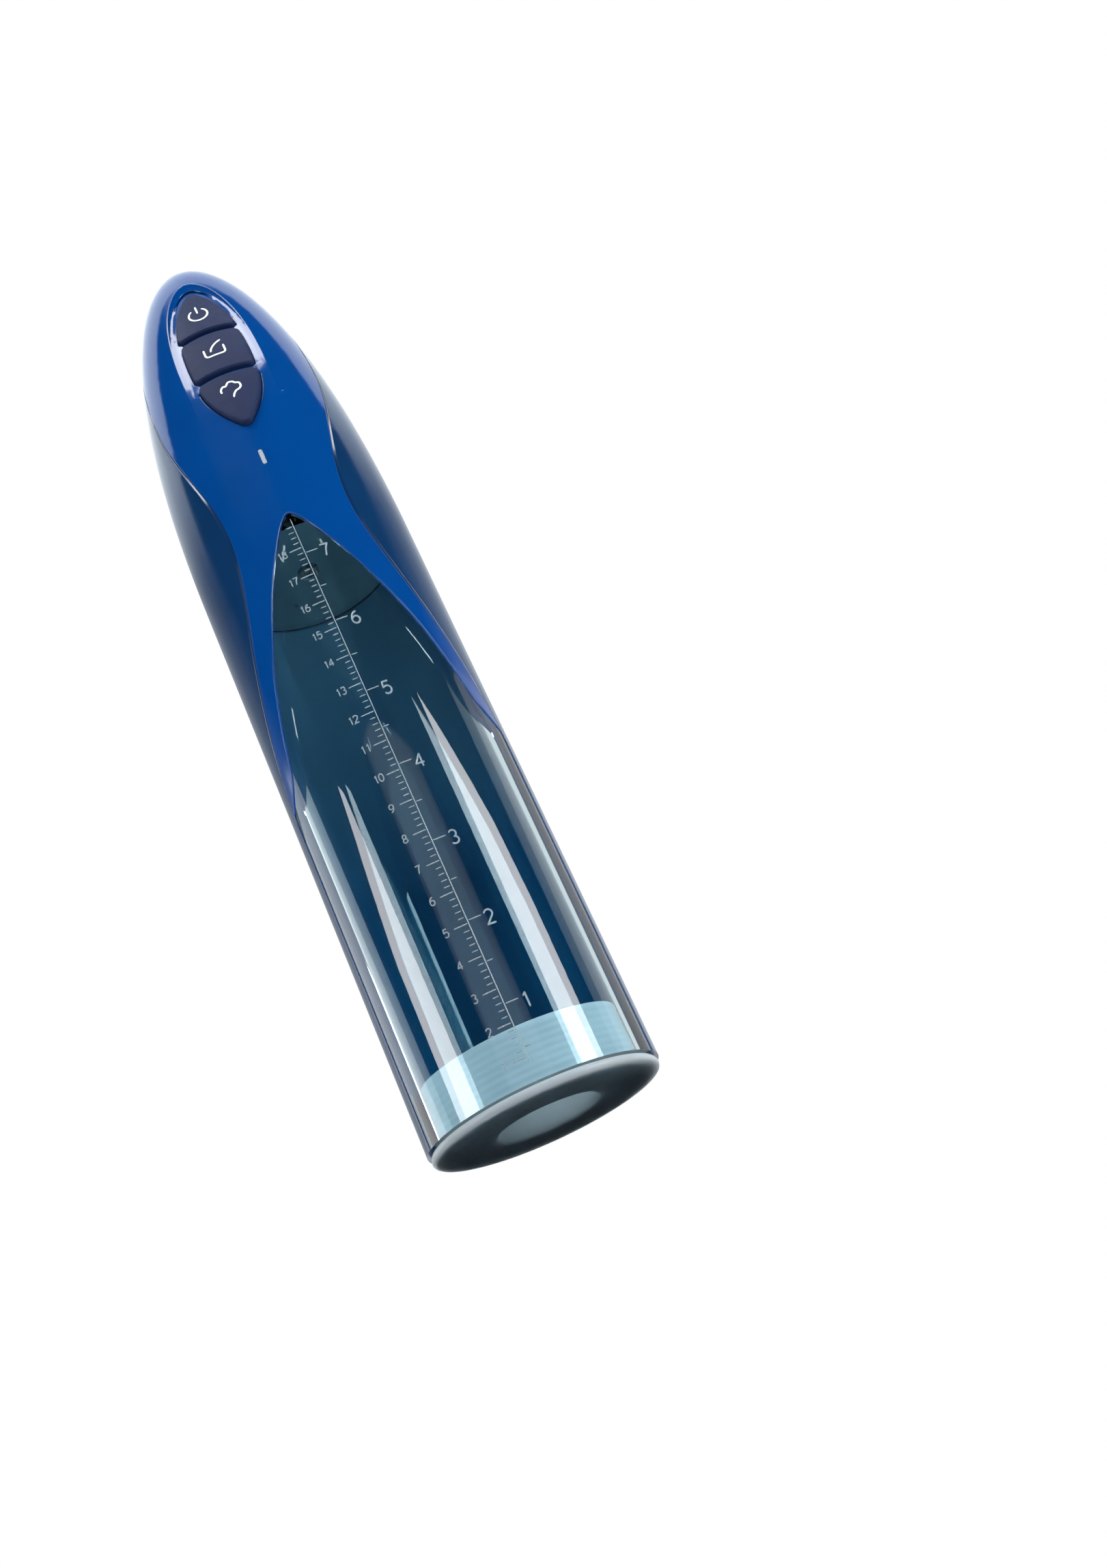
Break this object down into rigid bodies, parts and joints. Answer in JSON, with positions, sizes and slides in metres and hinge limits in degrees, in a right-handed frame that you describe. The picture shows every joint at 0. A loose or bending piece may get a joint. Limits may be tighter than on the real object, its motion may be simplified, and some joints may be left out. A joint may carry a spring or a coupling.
{
  "type": "handheld vacuum pump",
  "caption": "Handheld rechargeable vacuum pump with a removable clear cylinder, soft sealing sleeve, domed head and push keys.",
  "frame": {"origin": "centre of the open end of the cylinder, on the plane of the sealing flange", "axes": "+Z from the open end to the domed head; -Y is the side with the keys and the window; +X to the right seen from behind the window side"},
  "size_m": [0.07, 0.0708, 0.324],
  "materials": {
    "cover_blue": "high gloss",
    "shell_navy": "high gloss",
    "clear_plastic": "clear polycarbonate",
    "silicone": "translucent soft silicone",
    "key_navy": "soft touch",
    "light_pipe": "frosted",
    "inner_plastic": "satin",
    "steel": "bright zinc",
    "black_rubber": "matte",
    "filter_felt": "felt",
    "hose": "silicone tube",
    "pump_plastic": "satin",
    "zinc_can": "plated steel",
    "ferrite": "ferrite",
    "armature": "laminated steel",
    "white_acetal": "acetal",
    "cell_wrap": "shrink sleeve",
    "nickel": "nickel",
    "board": "solder mask",
    "switch": "moulded",
    "membrane": "silicone",
    "led": "lens",
    "chip": "epoxy",
    "plug_white": "nylon",
    "copper": "enamelled copper",
    "gold": "gold plate",
    "lead_red": "insulation",
    "lead_black": "insulation"
  },
  "bodies": {
    "housing": {"back_shell": "shell_navy", "battery_cell": "zinc_can", "battery_sleeve": "cell_wrap", "board_screws": "steel", "cell_tab_foot": "nickel", "cell_tab_top": "nickel", "charge_coil": "chip", "charge_magnets": "nickel", "charge_pins": "gold", "chassis": "inner_plastic", "clamp_bar": "inner_plastic", "clamp_screw": "steel", "control_chip": "chip", "diaphragm": "black_rubber", "driver_chips": "chip", "exhaust_hose": "hose", "filter_disc": "filter_felt", "front_cover": "cover_blue", "inlet_hose": "hose", "key_membrane": "membrane", "lead_cell_minus": "lead_black", "lead_cell_plus": "lead_red", "lead_charge_minus": "lead_black", "lead_charge_plus": "lead_red", "lead_motor_minus": "lead_black", "lead_motor_plus": "lead_red", "lead_plug": "plug_white", "lid_screws": "steel", "light_pipe": "light_pipe", "main_board": "board", "motor_can": "zinc_can", "motor_cap": "pump_plastic", "motor_magnets": "ferrite", "port_ring": "black_rubber", "pressure_sensor": "chip", "pump_cover": "pump_plastic", "pump_flaps": "black_rubber", "pump_housing": "pump_plastic", "pump_screws": "steel", "sensor_hose": "hose", "status_led": "led", "tact_switches": "switch", "valve_block": "pump_plastic", "valve_coil": "copper", "valve_frame": "zinc_can", "valve_hose": "hose", "valve_plate": "pump_plastic", "valve_spring": "steel"},
    "key_power": {"key_power": "key_navy"},
    "key_suction": {"key_suction": "key_navy"},
    "key_release": {"key_release": "key_navy"},
    "rotor": {"rotor": "armature"},
    "wobble_plate": {"wobble_plate": "white_acetal"},
    "valve_plunger": {"valve_plunger": "steel"},
    "cylinder": {"clear_cylinder": "clear_plastic"},
    "sleeve": {"seal_sleeve": "silicone"}
  },
  "joints": [
    {"name": "power_press", "type": "slide", "parent": "housing", "child": "key_power", "axis": [0, 0.9781, -0.2079], "range_m": [0, 0.0008]},
    {"name": "suction_press", "type": "slide", "parent": "housing", "child": "key_suction", "axis": [0, 0.9781, -0.2079], "range_m": [0, 0.0008]},
    {"name": "release_press", "type": "slide", "parent": "housing", "child": "key_release", "axis": [0, 0.9781, -0.2079], "range_m": [0, 0.0008]},
    {"name": "motor_spin", "type": "hinge", "parent": "housing", "child": "rotor", "pos_m": [-0.0125, 0.0075, 0.25], "axis": [0, 0, 1], "continuous": true},
    {"name": "wobble_turn", "type": "hinge", "parent": "rotor", "child": "wobble_plate", "pos_m": [-0.0125, 0.0075, 0.228], "axis": [0.1045, 0, 0.9945], "continuous": true},
    {"name": "valve_lift", "type": "slide", "parent": "housing", "child": "valve_plunger", "axis": [1, 0, 0], "range_m": [0, 0.0012]},
    {"name": "cylinder_removal", "type": "slide", "parent": "housing", "child": "cylinder", "axis": [0, 0, -1], "range_m": [0, 0.2]},
    {"name": "sleeve_removal", "type": "slide", "parent": "cylinder", "child": "sleeve", "axis": [0, 0, -1], "range_m": [0, 0.025]}
  ],
  "couplings": [
    {"joint": "wobble_turn", "follows": "motor_spin", "ratio": -1}
  ]
}
